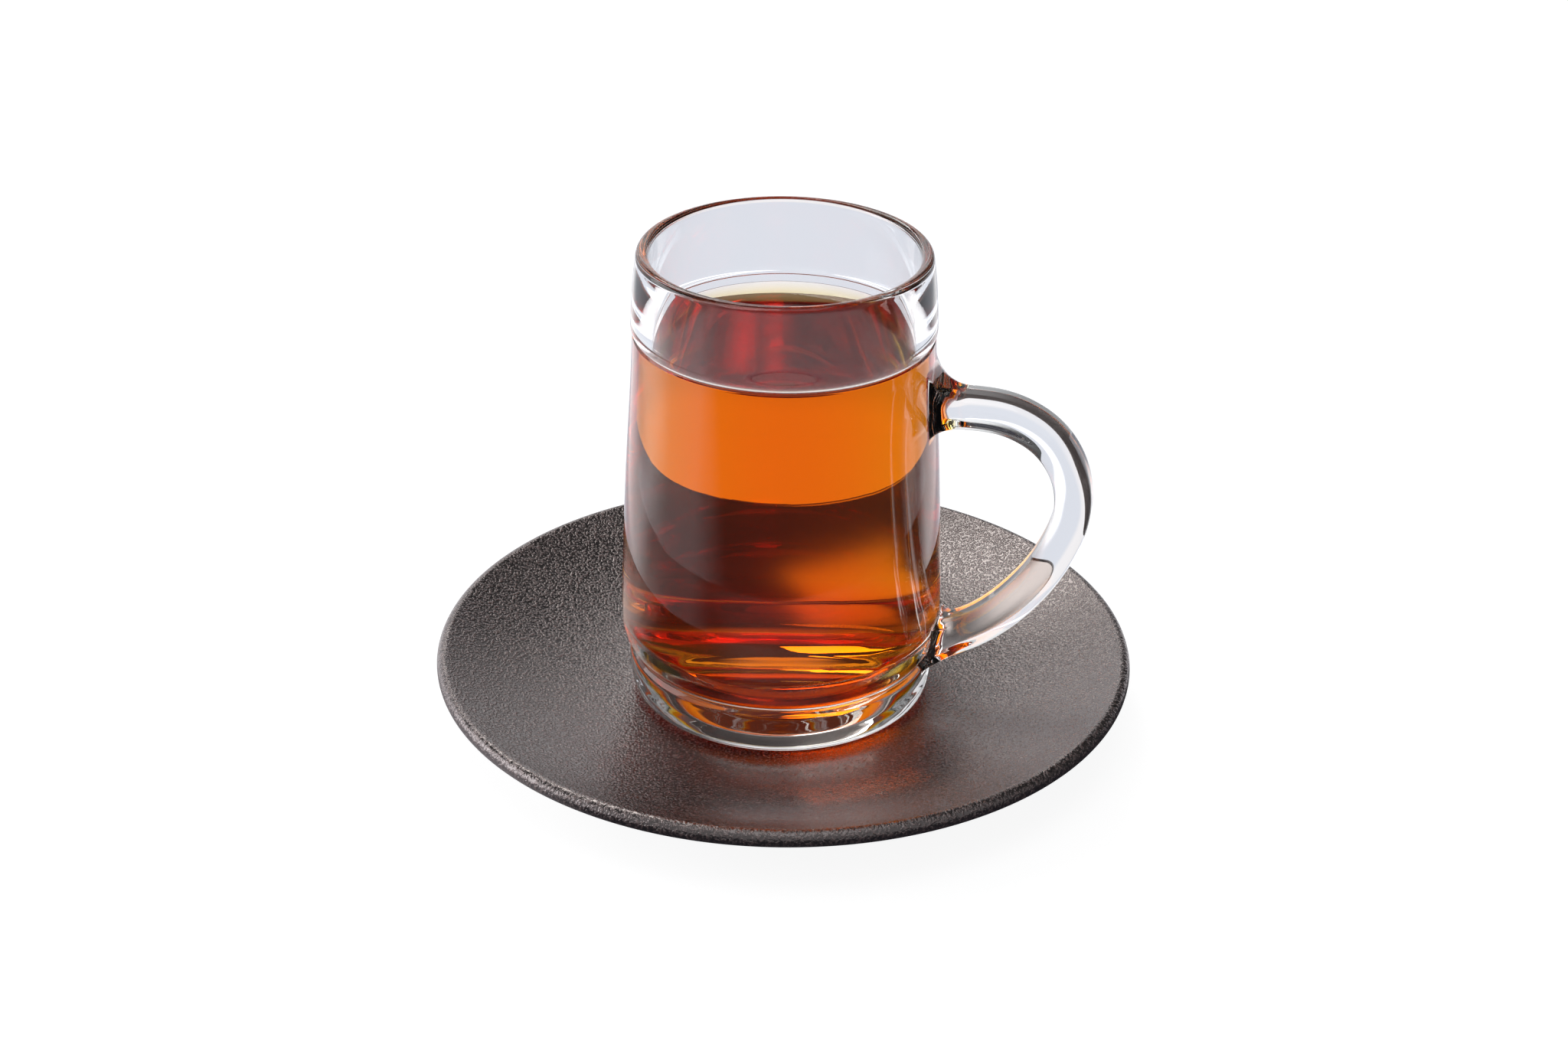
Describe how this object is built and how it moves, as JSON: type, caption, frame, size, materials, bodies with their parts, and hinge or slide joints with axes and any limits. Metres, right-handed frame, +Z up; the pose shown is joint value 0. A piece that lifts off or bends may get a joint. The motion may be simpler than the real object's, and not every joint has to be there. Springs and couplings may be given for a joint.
{
  "type": "glass of spiked tea",
  "caption": "Footed clear glass with a D-shaped handle, filled with hot tea, standing in a shallow dark stoneware saucer.",
  "frame": {"origin": "middle of the saucer's foot, on the surface it stands on", "axes": "+Z up through the glass; the handle points to +X, turned slightly towards -Y, where the picture's viewer stands"},
  "size_m": [0.158, 0.158, 0.1128],
  "materials": {
    "stoneware": "satin dark grey-brown stoneware with fine speckle",
    "clear_glass": "clear pressed glass, polished",
    "tea": "clear orange-brown tea"
  },
  "bodies": {
    "root": {"saucer": "stoneware", "glass": "clear_glass", "tea": "tea"}
  },
  "joints": []
}
